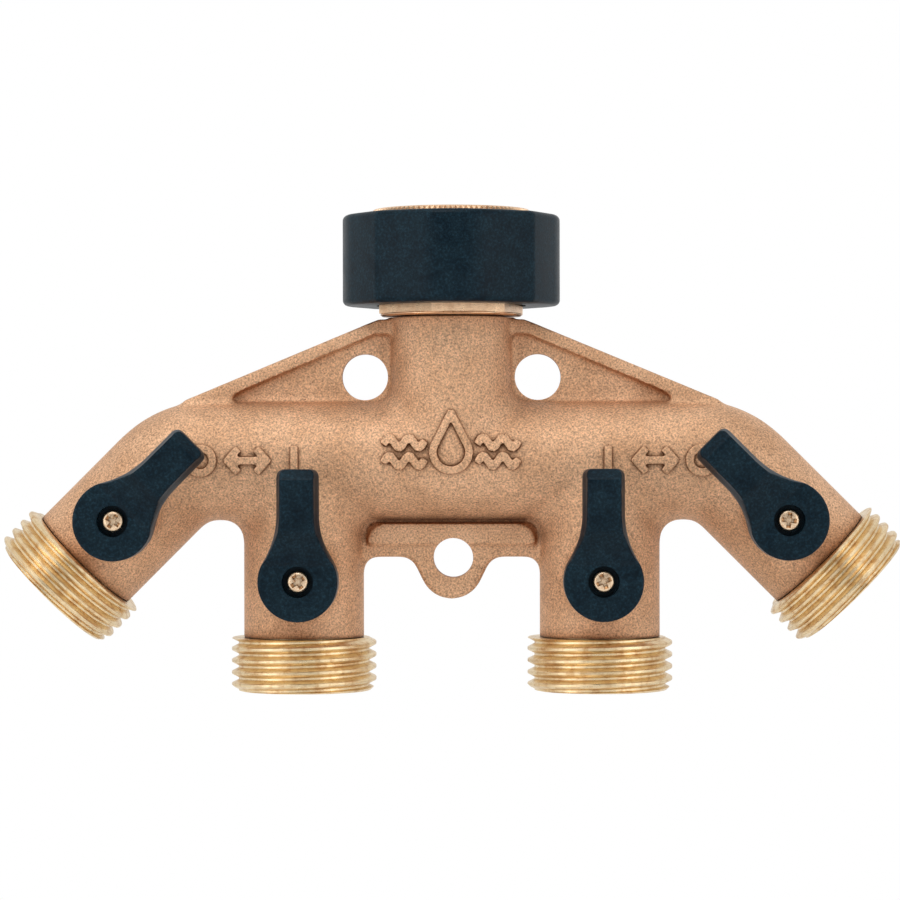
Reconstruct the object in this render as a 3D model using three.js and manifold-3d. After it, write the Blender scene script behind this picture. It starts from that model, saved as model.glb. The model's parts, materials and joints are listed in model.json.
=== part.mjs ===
// Four-outlet garden hose splitter: a cast manifold that hangs under a tap on a swivel nut, with a
// quarter-turn ball valve, a lever and a threaded tailpiece on each outlet.
// Millimetres, +Z up, front (the lever side) towards -Y. The origin is on the swivel axis, on top of
// the hose washer, where the tap's spout lands.
import * as THREE from 'three';
import { mergeVertices } from 'three/addons/utils/BufferGeometryUtils.js';
import Module from 'manifold-3d';

const wasm = await Module();
wasm.setup();

// ---------------------------------------------------------------- driving dimensions
const GAP = 0.3;                     // clearance between pieces that touch
const ROUND = 24;                    // facets round the big diameters
const SMALL = 16;                    // facets round the small ones

// garden hose thread, 3/4 in, 11.5 turns to the inch
const PITCH = 25.4 / 11.5;
const MALE_CREST = 26.99 / 2;
const MALE_ROOT = 24.4 / 2;
const FEMALE_CREST = 24.9 / 2;
const FEMALE_ROOT = 27.5 / 2;

// casting
const TUBE_R = 11.15;                // cross tube
const TUBE_Z = -34.7;
const LEG_R = 11.2;                  // outlet legs
const LEG_X = 27.6;
const LEG_END_Z = -67.5;
const OUTER_TILT = Math.PI / 4;      // outer outlets point down and out
const ELBOW_X = 50.1;                // where the cross tube's axis meets an outer outlet's axis
const ELBOW_R = 12;                  // bend radius of that axis
const OUTER_REACH = 25.88;           // along the outer axis, from that meeting point to the leg's end
const BORE_R = 7.2;
const NECK_R = 11.45;
const NECK_TOP = -8.2;
const SPIGOT_R = 9.5;
const WASHER_THICK = 2.6;
const SPIGOT_TOP = -WASHER_THICK - GAP;

// webs and hanging holes
const WEB_TOP = -8.5;
const WEB_SHOULDER_X = 14.1;
const WEB_TOE_X = 50.2;
const WEB_TOE_Z = -23.7;
const RIM = 2.6;                     // height of the thick rim along the sloping edge
const RIM_HALF = 3.5;                // half thickness of rims and the lower band
const PLATE_HALF = 2;                // half thickness of the plates inside them
const POCKET_X = 40.8;
const WEB_HOLE_R = 4.3;
const WEB_HOLE_X = 16.1;
const WEB_HOLE_Z = -19.2;
const BAND_TOP = -46.5;
const BAND_Z = -50.4;
const BAND_HALF_WIDTH = 15.5;
const BAND_CORNER = 2.5;
const PLATE_Z = -52.6;
const EYE_R = 5.9;
const EYE_Z = -54.6;
const EYE_LEAN = Math.PI * 64 / 180; // slope of the eye's flanks
const EYE_SWEEP = 2.4;               // radius from the plate's edge into a flank
const EYE_HOLE_R = 3.7;
const EYE_HOLE_Z = -52.85;
const EYE_HALF = 2.4;

// ball valve, in its own frame: ball centre at the origin, water leaves towards -Z, stem towards -Y
const INNER_BACK = 10.9;              // from an inner leg's end up to the ball's centre
const OUTER_BACK = 10.5;             // the same in an outer leg
const CHAMBER_R = 8.4;
const SHOULDER = 8.3;                // from the ball's centre to the face behind each seat
const SKIRT_BORE_R = 9.8;
const SKIRT_TOP = 5.1;
const BALL_R = 7.6;
const BALL_BORE_R = 4.75;
const SLOT_HALF = 1.5;
const SLOT_FLOOR = 5.6;
const TANG_LENGTH = 6;               // along the slot, short enough to clear the seats
const SEAT_R = 8.1;
const SEAT_FACE_R = BALL_R + GAP;
const BOSS_R = 6.6;
const BOSS_TOP = 15.5;
const COLLAR_R = 4.6;
const COLLAR_TOP = 9.9;
const STEM_R = 3.5;
const STEM_BORE_R = STEM_R + GAP;
const GROOVE_R = 2.5;
const GROOVE_LOW = 11.3;
const GROOVE_HIGH = 12.7;
const O_RING_R = 0.5;
const SQUARE = 5;                    // drive square on the stem, across flats
const STEM_TOP = 18.1;
const TAP_R = 1.3;                   // tapped hole in the stem

// outlet tailpiece
const INNER_TAIL = 10;                // how far an inner tailpiece stands out of its leg
const OUTER_TAIL = 8.9;               // the same on an outer leg
const TAIL_MOUTH_FLATS = 14;         // hexagonal mouth that takes the assembly key
const THREAD_TURNS = 4;

// lever and its screw; heights are measured forward from the ball's centre
const HUB_R = 7.25;
const HUB_UNDER = BOSS_TOP + GAP;
const HUB_FACE = 22.2;
const RECESS_R = 2.85;
const RECESS_FLOOR = 19.6;
const SOCKET_TOP = STEM_TOP + GAP;
const LEVER_LENGTH = 20.4;
const HANDLE_HALF = 3.85;
const FLARE_ANGLE = Math.PI * 31 / 180;   // where the handle's flare leaves the hub
const STEP_Z = 3.15;                 // start of the ramp from the hub's face to the handle
const HANDLE_FACE = 25.2;
const HANDLE_UNDER = 19.8;
const TIP_CORNER = 1.4;
const SCREW_HEAD_R = 1.95;
const SCREW_HEAD_LOW = RECESS_FLOOR + GAP;
const SCREW_HEAD_HIGH = 21.3;
const SCREW_R = 1;
const SCREW_END = 14.2;

// swivel nut and grip
const COLLAR_LOW = -7.9;
const COLLAR_HIGH = -5.9;
const COLLAR_FLATS = 24;
const COLLAR_TURN = Math.PI * 45.4 / 180;
const LIP_TOP = -6.0;
const LIP_BORE_R = 9.9;
const RING_LOW = LIP_TOP + GAP;
const RING_THICK = 1.2;
const RING_IN_R = 8.8;
const RING_OUT_R = 11.1;
const RING_GROOVE_R = 8.5;
const RING_SPLIT = Math.PI / 9;
const RING_BORE_R = 11.5;
const WASHER_R = 12.1;
const WASHER_HOLE_R = 7.9;
const SLEEVE_R = 14.95;
const SLEEVE_TOP = 11.95;
const GRIP_TOP = 10.95;
const GRIP_SHARP_R = 20.4;           // the four sharp corners
const GRIP_BLUNT_R = 22.5;           // where the faces would meet at the four rounded corners
const GRIP_ROUNDING = 0.5;           // share of each face taken by the rounding
const GRIP_EDGE = 1;
const GRIP_TURN = Math.PI * 3.4 / 180;

// ---------------------------------------------------------------- solids
function solidFrom(geometry) {
  const bare = geometry.clone();
  bare.deleteAttribute('normal');
  bare.deleteAttribute('uv');
  const welded = mergeVertices(bare, 1e-4);
  const position = welded.getAttribute('position');
  const corners = [0, 1, 2].map(() => new THREE.Vector3());
  const triangles = [];
  let volume = 0;
  for (let i = 0; i < welded.index.count; i += 3) {
    const ids = [0, 1, 2].map((k) => welded.index.getX(i + k));
    if (new Set(ids).size < 3) continue;
    ids.forEach((id, k) => corners[k].fromBufferAttribute(position, id));
    volume += corners[0].dot(corners[1].clone().cross(corners[2]));
    triangles.push(ids);
  }
  const outward = volume > 0 ? triangles : triangles.map(([a, b, c]) => [a, c, b]);
  return new wasm.Manifold(new wasm.Mesh({
    numProp: 3,
    vertProperties: Float32Array.from(position.array),
    triVerts: Uint32Array.from(outward.flat()),
  }));
}

function geometryFrom(solid) {
  const mesh = solid.getMesh();
  const geometry = new THREE.BufferGeometry();
  geometry.setAttribute('position', new THREE.BufferAttribute(mesh.vertProperties, 3));
  geometry.setIndex(new THREE.BufferAttribute(mesh.triVerts, 1));
  geometry.computeVertexNormals();
  return geometry;
}

const joined = (first, ...others) => others.reduce((sum, next) => sum.add(next), first);
const cut = (first, ...others) => others.reduce((rest, next) => rest.subtract(next), first);

// upright rod between two heights
function rod(radius, low, high, facets = ROUND) {
  const geometry = new THREE.CylinderGeometry(radius, radius, high - low, facets);
  return geometry.rotateX(Math.PI / 2).translate(0, 0, (low + high) / 2);
}

// rod that points to the front, between two distances forward of the axis
function frontRod(radius, near, far, facets = SMALL) {
  return rod(radius, near, far, facets).rotateX(Math.PI / 2);
}

function block(x, y, z, width, depth, height) {
  return new THREE.BoxGeometry(width, depth, height).translate(x, y, z);
}

// ring turned about Z from a closed outline of [radius, height] points
function turned(outline, facets = ROUND) {
  const points = [...outline, outline[0]].map(([r, z]) => new THREE.Vector2(r, z));
  return new THREE.LatheGeometry(points, facets).rotateX(Math.PI / 2);
}

// plate drawn in the front view, from a shape or from its corner points, centred on the axis plane
function plate(outline, half) {
  const shape = outline instanceof THREE.Shape
    ? outline : new THREE.Shape(outline.map(([x, z]) => new THREE.Vector2(x, z)));
  const geometry = new THREE.ExtrudeGeometry(
    shape, { depth: 2 * half, bevelEnabled: false, curveSegments: 12 });
  return geometry.rotateX(Math.PI / 2).translate(0, half, 0);
}

// one half of the cross tube's axis: straight, round the elbow, straight to the outer outlet
const ELBOW_STEPS = 5;
class ArmPath extends THREE.Curve {
  constructor(side, startX, reach) {
    super();
    Object.assign(this, { side, startX, reach });
    this.tangentLength = ELBOW_R * Math.tan(OUTER_TILT / 2);
    this.steps = ELBOW_STEPS + 2;
  }

  angleAt(u) {
    return OUTER_TILT * THREE.MathUtils.clamp((u * this.steps - 1) / ELBOW_STEPS, 0, 1);
  }

  getPointAt(u, target = new THREE.Vector3()) {
    const step = u * this.steps;
    const angle = this.angleAt(u);
    const bendX = ELBOW_X - this.tangentLength;
    let x = bendX + ELBOW_R * Math.sin(angle);
    let z = TUBE_Z - ELBOW_R * (1 - Math.cos(angle));
    if (step < 1) x = this.startX + (bendX - this.startX) * step;
    if (step > this.steps - 1) {
      const run = (this.reach - this.tangentLength) * (step - this.steps + 1);
      x += run * Math.cos(OUTER_TILT);
      z -= run * Math.sin(OUTER_TILT);
    }
    return target.set(this.side * x, 0, z);
  }

  getTangentAt(u, target = new THREE.Vector3()) {
    const angle = this.angleAt(u);
    return target.set(this.side * Math.cos(angle), 0, -Math.sin(angle));
  }
}

function armTube(side, radius, startX, reach) {
  const path = new ArmPath(side, startX, reach);
  const section = new THREE.Shape().absarc(0, 0, radius, 0, 2 * Math.PI, false);
  return new THREE.ExtrudeGeometry(
    section, { extrudePath: path, steps: path.steps, curveSegments: ROUND / 2 });
}

// ---------------------------------------------------------------- places of the four valves
const innerValve = { x: LEG_X, z: LEG_END_Z + INNER_BACK, back: INNER_BACK, tail: INNER_TAIL, tilt: 0 };
const outerValve = {
  x: ELBOW_X + (OUTER_REACH - OUTER_BACK) * Math.cos(OUTER_TILT),
  z: TUBE_Z - (OUTER_REACH - OUTER_BACK) * Math.sin(OUTER_TILT),
  back: OUTER_BACK,
  tail: OUTER_TAIL,
  tilt: OUTER_TILT,
};
const OUTLETS = [
  { name: 'outer_left', side: -1, ...outerValve },
  { name: 'inner_left', side: -1, ...innerValve },
  { name: 'inner_right', side: 1, ...innerValve },
  { name: 'outer_right', side: 1, ...outerValve },
];

function valveFrame(outlet) {
  const frame = new THREE.Group();
  frame.position.set(outlet.side * outlet.x, 0, outlet.z);
  frame.rotation.y = -outlet.side * outlet.tilt;
  frame.updateMatrixWorld(true);
  return frame;
}

// ---------------------------------------------------------------- casting
function webs() {
  const mirrored = (points) => [
    ...points.map(([x, z]) => [-x, z]), ...points.slice().reverse()];
  const outline = mirrored([
    [ELBOW_X - 6, TUBE_Z], [WEB_TOE_X, WEB_TOE_Z], [WEB_SHOULDER_X, WEB_TOP]]);
  const pocket = mirrored([
    [POCKET_X, TUBE_Z], [POCKET_X, WEB_TOE_Z + 0.4], [POCKET_X - 1.4, WEB_TOE_Z + 2.1],
    [WEB_SHOULDER_X, WEB_TOP - RIM]]);
  const rim = cut(solidFrom(plate(outline, RIM_HALF)), solidFrom(plate(pocket, RIM_HALF + 1)));
  const corner = BAND_HALF_WIDTH - BAND_CORNER;
  const band = new THREE.Shape();
  band.moveTo(-BAND_HALF_WIDTH, BAND_Z);
  band.lineTo(BAND_HALF_WIDTH, BAND_Z);
  band.absarc(corner, BAND_TOP - BAND_CORNER, BAND_CORNER, 0, Math.PI / 2, false);
  band.absarc(-corner, BAND_TOP - BAND_CORNER, BAND_CORNER, Math.PI / 2, Math.PI, false);
  return [rim, ...[plate(outline, PLATE_HALF), plate(band, RIM_HALF),
    plate(lowerPlate(), EYE_HALF)].map(solidFrom)];
}

// plate between the inner legs, with the hanging eye below it on two leaning flanks
function lowerPlate() {
  const inside = LEG_X - LEG_R + 1.5;
  const reach = (EYE_R + EYE_SWEEP
    + Math.cos(EYE_LEAN) * (PLATE_Z - EYE_SWEEP - EYE_Z)) / Math.sin(EYE_LEAN);
  const flank = Math.PI / 2 - EYE_LEAN;
  const shape = new THREE.Shape();
  shape.moveTo(inside, TUBE_Z);
  shape.lineTo(-inside, TUBE_Z);
  shape.lineTo(-inside, PLATE_Z);
  shape.absarc(-reach, PLATE_Z - EYE_SWEEP, EYE_SWEEP, Math.PI / 2, flank, true);
  shape.absarc(0, EYE_Z, EYE_R, Math.PI + flank, 2 * Math.PI - flank, false);
  shape.absarc(reach, PLATE_Z - EYE_SWEEP, EYE_SWEEP, Math.PI - flank, Math.PI / 2, true);
  shape.lineTo(inside, PLATE_Z);
  return shape;
}

function hangingHoles() {
  const through = 10;
  const hole = (radius, x, z) => frontRod(radius, -through, through).translate(x, 0, z);
  return [hole(WEB_HOLE_R, -WEB_HOLE_X, WEB_HOLE_Z), hole(WEB_HOLE_R, WEB_HOLE_X, WEB_HOLE_Z),
    hole(EYE_HOLE_R, 0, EYE_HOLE_Z)].map(solidFrom);
}

function manifoldBody() {
  const outside = [rod(NECK_R, TUBE_Z, NECK_TOP), rod(SPIGOT_R, NECK_TOP - 1, SPIGOT_TOP)];
  const inside = [rod(BORE_R, TUBE_Z, SPIGOT_TOP + 1, SMALL)];
  for (const side of [-1, 1]) {
    outside.push(armTube(side, TUBE_R, -5, OUTER_REACH));
    inside.push(armTube(side, BORE_R, -3, OUTER_REACH - OUTER_BACK - SHOULDER + 1));
  }
  for (const outlet of OUTLETS) {
    const place = valveFrame(outlet).matrixWorld;
    const rise = outlet.tilt ? 0 : TUBE_Z - outlet.z;
    const end = -outlet.back - 1;
    if (rise) outside.push(rod(LEG_R, -outlet.back, rise).applyMatrix4(place));
    if (rise) inside.push(rod(BORE_R, 0, rise, SMALL).applyMatrix4(place));
    outside.push(frontRod(BOSS_R, 0, BOSS_TOP).applyMatrix4(place));
    inside.push(...[rod(CHAMBER_R, end, SHOULDER), rod(SKIRT_BORE_R, end, -SKIRT_TOP),
      frontRod(COLLAR_R + GAP, 0, COLLAR_TOP + GAP), frontRod(STEM_BORE_R, 0, BOSS_TOP + 1),
    ].map((geometry) => geometry.applyMatrix4(place)));
  }
  const grooveLow = RING_LOW - GAP;
  const grooveHigh = RING_LOW + RING_THICK + GAP;
  const groove = turned([[RING_GROOVE_R, grooveLow], [SPIGOT_R + 1, grooveLow],
    [SPIGOT_R + 1, grooveHigh], [RING_GROOVE_R, grooveHigh]]);
  const casting = joined(...outside.map(solidFrom), ...webs());
  return cut(casting, ...hangingHoles(), ...inside.map(solidFrom), solidFrom(groove));
}

// ---------------------------------------------------------------- swivel nut group
function swivelNut() {
  const thread = [];
  const threadLow = 0.5;
  const turns = Math.floor((SLEEVE_TOP - threadLow - 0.6) / PITCH);
  for (let turn = 0; turn < turns; turn += 1) {
    const z = threadLow + turn * PITCH;
    thread.push([FEMALE_ROOT, z], [FEMALE_CREST, z + 0.45 * PITCH], [FEMALE_CREST, z + 0.6 * PITCH]);
  }
  const sleeve = turned([[LIP_BORE_R, COLLAR_LOW], [12, COLLAR_LOW], [12, COLLAR_HIGH],
    [SLEEVE_R, COLLAR_HIGH], [SLEEVE_R, SLEEVE_TOP], [FEMALE_ROOT, SLEEVE_TOP],
    ...thread.reverse(), [WASHER_R + GAP, 0.5 - PITCH / 2], [WASHER_R + GAP, SPIGOT_TOP - GAP],
    [RING_BORE_R, SPIGOT_TOP - GAP], [RING_BORE_R, LIP_TOP], [LIP_BORE_R, LIP_TOP]]);
  const cornerR = COLLAR_FLATS / Math.sqrt(3);
  const collar = rod(cornerR, COLLAR_LOW, COLLAR_HIGH + 0.5, 6).rotateZ(COLLAR_TURN);
  const opening = rod(RING_BORE_R, COLLAR_LOW - 1, COLLAR_HIGH + 1);
  return joined(solidFrom(sleeve), cut(solidFrom(collar), solidFrom(opening)));
}

// eight faces: four sharp corners on the diagonals, and four blunt ones that are rounded off
function nutGrip() {
  const at = (turn, radius) => new THREE.Vector2(radius, 0).rotateAround(
    new THREE.Vector2(), GRIP_TURN + turn * Math.PI / 4);
  const shape = new THREE.Shape();
  shape.moveTo(...at(-1, GRIP_SHARP_R).toArray());
  for (let turn = 0; turn < 8; turn += 2) {
    const blunt = at(turn, GRIP_BLUNT_R);
    const next = at(turn + 1, GRIP_SHARP_R);
    shape.lineTo(...at(turn - 1, GRIP_SHARP_R).lerp(blunt, 1 - GRIP_ROUNDING).toArray());
    shape.quadraticCurveTo(...blunt.toArray(), ...blunt.clone().lerp(next, GRIP_ROUNDING).toArray());
    shape.lineTo(...next.toArray());
  }
  const height = GRIP_TOP - COLLAR_HIGH;
  const geometry = new THREE.ExtrudeGeometry(shape, {
    depth: height - 2 * GRIP_EDGE, bevelEnabled: true, bevelThickness: GRIP_EDGE,
    bevelSize: GRIP_EDGE, bevelOffset: -GRIP_EDGE, bevelSegments: 2, curveSegments: 3,
  }).translate(0, 0, COLLAR_HIGH + GRIP_EDGE);
  const bore = rod(SLEEVE_R + GAP, COLLAR_HIGH - 1, GRIP_TOP + 1);
  return cut(solidFrom(geometry), solidFrom(bore));
}

function hoseWasher() {
  return solidFrom(turned([[WASHER_HOLE_R, -WASHER_THICK], [WASHER_R, -WASHER_THICK],
    [WASHER_R, 0], [WASHER_HOLE_R, 0]]));
}

function retainingRing() {
  const shape = new THREE.Shape();
  const from = RING_SPLIT / 2;
  const to = 2 * Math.PI - from;
  shape.absarc(0, 0, RING_OUT_R, from, to, false);
  shape.absarc(0, 0, RING_IN_R, to, from, true);
  const geometry = new THREE.ExtrudeGeometry(
    shape, { depth: RING_THICK, bevelEnabled: false, curveSegments: 14 });
  return solidFrom(geometry.translate(0, 0, RING_LOW));
}

// ---------------------------------------------------------------- pieces of one valve
function outletTail(back, length) {
  const seam = back + GAP;
  const end = back + length;
  const thread = [];
  for (let turn = 0; turn < THREAD_TURNS; turn += 1) {
    const z = -seam - turn * PITCH;
    thread.push([MALE_ROOT, z - 0.1], [MALE_CREST, z - 0.45 * PITCH], [MALE_CREST, z - 0.6 * PITCH]);
  }
  thread[thread.length - 1] = [MALE_CREST - 0.3, -end + 0.6];
  const skirtR = SKIRT_BORE_R - GAP;
  const body = turned([[BORE_R - 1.9, -SHOULDER], [BORE_R - 1.9, -end], [MALE_ROOT - 0.3, -end],
    ...thread.reverse(), [MALE_ROOT, -seam], [skirtR, -seam], [skirtR, -SKIRT_TOP - GAP],
    [CHAMBER_R, -SKIRT_TOP - GAP], [CHAMBER_R, -SHOULDER]]);
  const key = rod(TAIL_MOUTH_FLATS / Math.sqrt(3), -end - 1, 1 - back, 6);
  return cut(solidFrom(body), solidFrom(key));
}

// seat ring with a spherical face; `way` is 1 for the upstream seat and -1 for the downstream one
function seatRing(way) {
  const face = [39, 51.5, 64].map((degrees) => {
    const angle = THREE.MathUtils.degToRad(degrees);
    return [SEAT_FACE_R * Math.sin(angle), way * SEAT_FACE_R * Math.cos(angle)];
  });
  const back = way * (SHOULDER - GAP);
  return solidFrom(turned([...face, [SEAT_R, face[2][1]], [SEAT_R, back], [face[0][0], back]], SMALL));
}

function valveBall() {
  const ball = new THREE.SphereGeometry(BALL_R, SMALL, 12).rotateX(Math.PI / 2);
  const slotDepth = BALL_R - SLOT_FLOOR + 1;
  const slot = block(0, -SLOT_FLOOR - slotDepth / 2, 0, 2 * BALL_R + 2, slotDepth, 2 * SLOT_HALF);
  return cut(solidFrom(ball), solidFrom(rod(BALL_BORE_R, -9, 9, SMALL)), solidFrom(slot));
}

function valveStem() {
  const tangHalf = SLOT_HALF - GAP;
  const tangLow = SLOT_FLOOR + GAP;
  const tangHigh = COLLAR_TOP - 0.5;
  const collarLow = SEAT_R + GAP;
  const tang = block(0, -(tangLow + tangHigh) / 2, 0, TANG_LENGTH, tangHigh - tangLow, 2 * tangHalf);
  const collar = frontRod(COLLAR_R, collarLow, COLLAR_TOP);
  const shaft = frontRod(STEM_R, COLLAR_TOP - 0.5, STEM_TOP);
  const groove = cut(solidFrom(frontRod(STEM_R + 1, GROOVE_LOW, GROOVE_HIGH)),
    solidFrom(frontRod(GROOVE_R, GROOVE_LOW - 1, GROOVE_HIGH + 1)));
  const flat = 6;
  const drive = (STEM_TOP + BOSS_TOP) / 2 + 0.5;
  const flats = [[1, 0], [-1, 0], [0, 1], [0, -1]].map(([x, z]) => solidFrom(block(
    x * (SQUARE + flat) / 2, -drive, z * (SQUARE + flat) / 2,
    x ? flat : 3 * flat, STEM_TOP - BOSS_TOP + 1, z ? flat : 3 * flat)));
  const tapped = solidFrom(frontRod(TAP_R, SCREW_END - GAP, STEM_TOP + 1, 12));
  return cut(joined(...[collar, tang, shaft].map(solidFrom)), groove, ...flats, tapped);
}

function stemORing() {
  const middle = GROOVE_R + O_RING_R + GAP / 2;
  return solidFrom(new THREE.TorusGeometry(middle, O_RING_R, 6, SMALL)
    .rotateX(Math.PI / 2).translate(0, -(GROOVE_LOW + GROOVE_HIGH) / 2, 0));
}

function leverOutline() {
  // the flare is an arc that touches the hub's circle and the handle's straight side
  const flareR = (HUB_R * Math.cos(FLARE_ANGLE) - HANDLE_HALF) / (1 - Math.cos(FLARE_ANGLE));
  const flareX = HANDLE_HALF + flareR;
  const flareZ = (HUB_R + flareR) * Math.sin(FLARE_ANGLE);
  const tip = LEVER_LENGTH;
  const shape = new THREE.Shape();
  shape.moveTo(HANDLE_HALF, flareZ);
  shape.lineTo(HANDLE_HALF, tip - TIP_CORNER);
  shape.absarc(HANDLE_HALF - TIP_CORNER, tip - TIP_CORNER, TIP_CORNER, 0, Math.PI / 2, false);
  shape.absarc(TIP_CORNER - HANDLE_HALF, tip - TIP_CORNER, TIP_CORNER, Math.PI / 2, Math.PI, false);
  shape.lineTo(-HANDLE_HALF, flareZ);
  shape.absarc(-flareX, flareZ, flareR, 0, -FLARE_ANGLE, true);
  shape.absarc(0, 0, HUB_R, Math.PI - FLARE_ANGLE, FLARE_ANGLE, false);
  shape.absarc(flareX, flareZ, flareR, Math.PI + FLARE_ANGLE, Math.PI, true);
  return shape;
}

function lever() {
  const outline = new THREE.ExtrudeGeometry(
    leverOutline(), { depth: 12, bevelEnabled: false, curveSegments: 8 });
  outline.rotateX(Math.PI / 2).translate(0, -HUB_UNDER, 0);
  const profile = new THREE.Shape([[-HUB_R - 1, HUB_UNDER], [STEP_Z + 1.5, HUB_UNDER],
    [STEP_Z + 5, HANDLE_UNDER], [LEVER_LENGTH + 1, HANDLE_UNDER + 0.4],
    [LEVER_LENGTH + 1, HANDLE_FACE - 2.6], [LEVER_LENGTH - 1.4, HANDLE_FACE],
    [STEP_Z + 5, HANDLE_FACE - 0.6], [STEP_Z + 2.5, HANDLE_FACE - 1.4], [STEP_Z, HUB_FACE],
    [-HUB_R - 1, HUB_FACE]].map(([z, forward]) => new THREE.Vector2(z, forward)));
  const side = new THREE.ExtrudeGeometry(profile, { depth: 20, bevelEnabled: false });
  side.translate(0, 0, -10).applyMatrix4(new THREE.Matrix4().makeBasis(
    new THREE.Vector3(0, 0, 1), new THREE.Vector3(0, -1, 0), new THREE.Vector3(1, 0, 0)));
  const socketSize = SQUARE + 2 * GAP;
  const socket = block(0, -(HUB_UNDER + SOCKET_TOP - 1) / 2, 0,
    socketSize, SOCKET_TOP - HUB_UNDER + 1, socketSize);
  return cut(solidFrom(outline).intersect(solidFrom(side)), solidFrom(socket),
    solidFrom(frontRod(RECESS_R, RECESS_FLOOR, HUB_FACE + 5)),
    solidFrom(frontRod(TAP_R, HUB_UNDER, HUB_FACE, 12)));
}

function leverScrew() {
  const head = frontRod(SCREW_HEAD_R, SCREW_HEAD_LOW, SCREW_HEAD_HIGH);
  const shank = frontRod(SCREW_R, SCREW_END, SCREW_HEAD_LOW + 0.5, 12);
  const crossLength = 2.4;
  const crossWidth = 0.6;
  const cross = [[crossLength, crossWidth], [crossWidth, crossLength]].map(([x, z]) => solidFrom(
    block(0, -SCREW_HEAD_HIGH, 0, x, 1.6, z).rotateY(Math.PI / 4)));
  return cut(joined(solidFrom(head), solidFrom(shank)), ...cross);
}

// ---------------------------------------------------------------- materials
function material(color, roughness, metalness) {
  return new THREE.MeshStandardMaterial({ color, roughness, metalness });
}
const castBronze = material('#b08a64', 0.5, 0.9);
const brass = material('#c9a865', 0.35, 0.95);
const handlePlastic = material('#1f2f3c', 0.4, 0);
const rubber = material('#20201f', 0.8, 0);
const ptfe = material('#eceae4', 0.5, 0);
const chrome = material('#c8cacc', 0.15, 1);
const screwSteel = material('#c08a5e', 0.3, 1);

// ---------------------------------------------------------------- assembly
const splitter = new THREE.Group();

function addPiece(parent, name, solid, finish) {
  const mesh = new THREE.Mesh(geometryFrom(solid), finish);
  mesh.name = name;
  parent.add(mesh);
}

addPiece(splitter, 'manifold_body', manifoldBody(), castBronze);
addPiece(splitter, 'swivel_retaining_ring', retainingRing(), brass);
addPiece(splitter, 'hose_washer', hoseWasher(), rubber);
addPiece(splitter, 'swivel_nut', swivelNut(), brass);
addPiece(splitter, 'nut_grip', nutGrip(), handlePlastic);

for (const outlet of OUTLETS) {
  const frame = valveFrame(outlet);
  splitter.add(frame);
  addPiece(frame, `${outlet.name}_outlet_tail`, outletTail(outlet.back, outlet.tail), brass);
  addPiece(frame, `${outlet.name}_upstream_seat`, seatRing(1), ptfe);
  addPiece(frame, `${outlet.name}_downstream_seat`, seatRing(-1), ptfe);
  addPiece(frame, `${outlet.name}_ball`, valveBall(), chrome);
  addPiece(frame, `${outlet.name}_stem`, valveStem(), brass);
  addPiece(frame, `${outlet.name}_stem_o_ring`, stemORing(), rubber);
  addPiece(frame, `${outlet.name}_lever`, lever(), handlePlastic);
  addPiece(frame, `${outlet.name}_lever_screw`, leverScrew(), screwSteel);
}

export default splitter;
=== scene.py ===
"""Looks of a four-outlet garden hose splitter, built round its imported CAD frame.

The model is worked in millimetres and brought to metres when a piece is placed. Up is +Z and the
front, where the levers are, is -Y. Each valve's pieces are made in the valve's own frame, with the
ball's centre at the origin, the water leaving towards -Z and the stem pointing to -Y.
"""

import json
import math

import bmesh
import bpy
from mathutils import Matrix, Vector


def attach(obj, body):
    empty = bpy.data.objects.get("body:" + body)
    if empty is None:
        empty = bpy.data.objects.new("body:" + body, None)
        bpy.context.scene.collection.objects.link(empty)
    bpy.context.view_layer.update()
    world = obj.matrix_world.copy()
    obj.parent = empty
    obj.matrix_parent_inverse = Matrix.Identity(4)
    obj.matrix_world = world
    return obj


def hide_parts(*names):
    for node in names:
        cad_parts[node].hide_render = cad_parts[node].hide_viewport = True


bl_info = {
    "name": "Hose splitter",
    "version": (1, 0, 0),
    "blender": (4, 5, 0),
    "location": "View3D > Sidebar > Hose splitter",
    "description": "Builds the visible pieces of a hose splitter round its CAD frame",
    "category": "Add Mesh",
}

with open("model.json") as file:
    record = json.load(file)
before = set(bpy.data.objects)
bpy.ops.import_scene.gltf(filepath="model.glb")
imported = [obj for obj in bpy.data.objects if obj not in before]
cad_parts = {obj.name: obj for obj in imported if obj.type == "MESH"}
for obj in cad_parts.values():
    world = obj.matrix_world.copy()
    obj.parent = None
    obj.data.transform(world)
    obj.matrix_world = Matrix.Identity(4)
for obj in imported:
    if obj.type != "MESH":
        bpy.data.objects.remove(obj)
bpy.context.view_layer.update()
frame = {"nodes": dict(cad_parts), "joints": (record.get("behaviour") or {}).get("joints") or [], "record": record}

MM = 0.001
UP = Vector((0, 0, 1))
QUARTER = math.pi / 2
HERE = Matrix.Identity(4)
ROUND = 96                      # facets round a large turned piece

# casting
TUBE_R = 11.15
TUBE_Z = -34.7
LEG_R = 11.2
LEG_BACK = {"inner": 10.9, "outer": 10.5}   # from the ball's centre to the end of the leg
ELBOW_X = 50.1
ELBOW_R = 12.0
OUTER_TILT = math.radians(45)
BORE_R = 7.2
NECK_R = 11.45
NECK_TOP = -8.2
SPIGOT_R = 9.5
SPIGOT_TOP = -2.9
WEB_TOP = -8.5
WEB_SHOULDER_X = 14.1
WEB_SHOULDER = ((-0.6, 0), (0.5, -0.4))   # ends of the shoulder's chamfer, from its corner
WEB_TOE = (50.2, -23.7)
RIM = 2.6
RIM_HALF = 3.5
PLATE_HALF = 2.0
POCKET_X = 40.8
POCKET_CORNER = (1.5, 1.2)
WEB_HOLE = (16.1, -19.2, 4.3)   # x, z, radius
BAND_Z = -50.4
BAND_TOP = -46.5
BAND_HALF_WIDTH = 15.5
BAND_CORNER = 2.5
PLATE_Z = -52.7
EYE_Z = -54.6
EYE_R = 5.9
EYE_HALF = 2.4
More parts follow.
